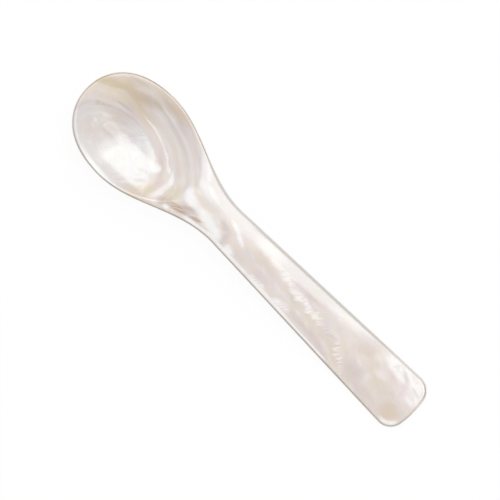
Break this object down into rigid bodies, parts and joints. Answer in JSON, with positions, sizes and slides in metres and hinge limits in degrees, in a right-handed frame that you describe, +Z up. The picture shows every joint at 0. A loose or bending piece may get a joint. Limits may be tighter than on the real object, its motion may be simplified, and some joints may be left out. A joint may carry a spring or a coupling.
{
  "type": "caviar spoon",
  "caption": "Caviar spoon carved from one piece of mother-of-pearl, with a shallow egg-shaped bowl, a narrow crowned neck and a flat handle that widens to a rounded end.",
  "frame": {"origin": "middle of the spoon's length and width, on the surface that it rests on", "axes": "+X from the tip of the bowl to the end of the handle, +Y across the spoon, +Z up out of the hollow"},
  "size_m": [0.11, 0.026, 0.0069],
  "materials": {
    "mother_of_pearl": "polished"
  },
  "bodies": {
    "root": {"spoon": "mother_of_pearl"}
  },
  "joints": []
}
